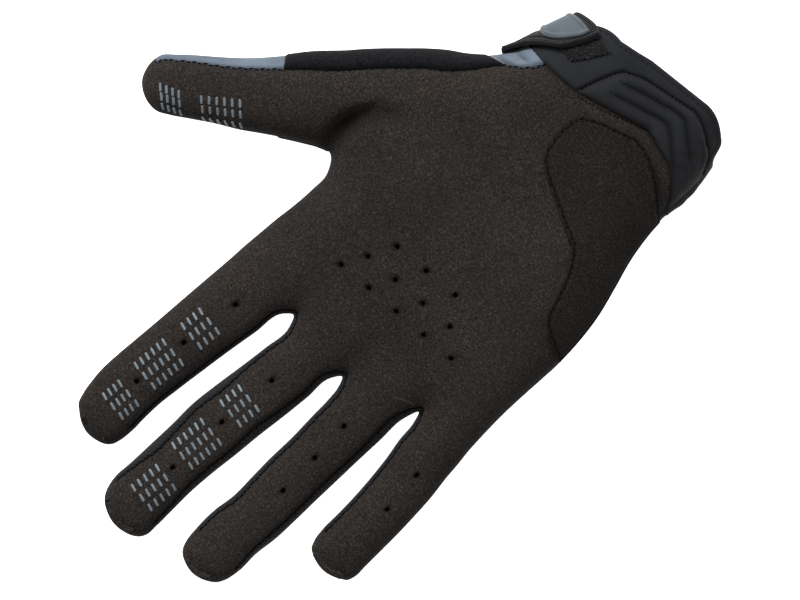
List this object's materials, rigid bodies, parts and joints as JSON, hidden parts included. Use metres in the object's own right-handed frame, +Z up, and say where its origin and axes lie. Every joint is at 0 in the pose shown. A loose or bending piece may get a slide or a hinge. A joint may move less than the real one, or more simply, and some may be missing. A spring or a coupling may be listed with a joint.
{
  "type": "full-finger cycling glove",
  "caption": "Full-finger cycling glove for the right hand, lying palm up, with a suede palm, heel pad, vented front, ribbed cuff and wrist strap.",
  "frame": {"origin": "middle of the glove's box in plan, on the surface it lies on", "axes": "+X towards the thumb side, +Y from the wrist to the fingertips, +Z up, out of the palm"},
  "size_m": [0.1736, 0.2388, 0.0335],
  "materials": {
    "suede": "matt brushed synthetic suede",
    "blue_knit": "blue-grey stretch knit",
    "black_mesh": "black stretch mesh",
    "terry": "black soft looped wipe fabric",
    "neoprene": "fabric-faced neoprene, matt",
    "loop_pile": "black loop pile",
    "webbing": "tightly woven strap, slight sheen",
    "badge_rubber": "blue-grey moulded rubber, satin"
  },
  "bodies": {
    "root": {"palm_panel": "suede", "heel_pad": "suede", "back_panel": "blue_knit", "fourchette_index_middle": "black_mesh", "fourchette_middle_ring": "black_mesh", "fourchette_ring_little": "black_mesh", "thumb_tip_back": "blue_knit", "thumb_wipe": "terry", "thumb_gusset": "blue_knit", "cuff_palm_panel": "neoprene", "cuff_wrap": "neoprene", "loop_patch": "loop_pile", "closure_strap": "webbing", "strap_badge": "badge_rubber"}
  },
  "joints": []
}
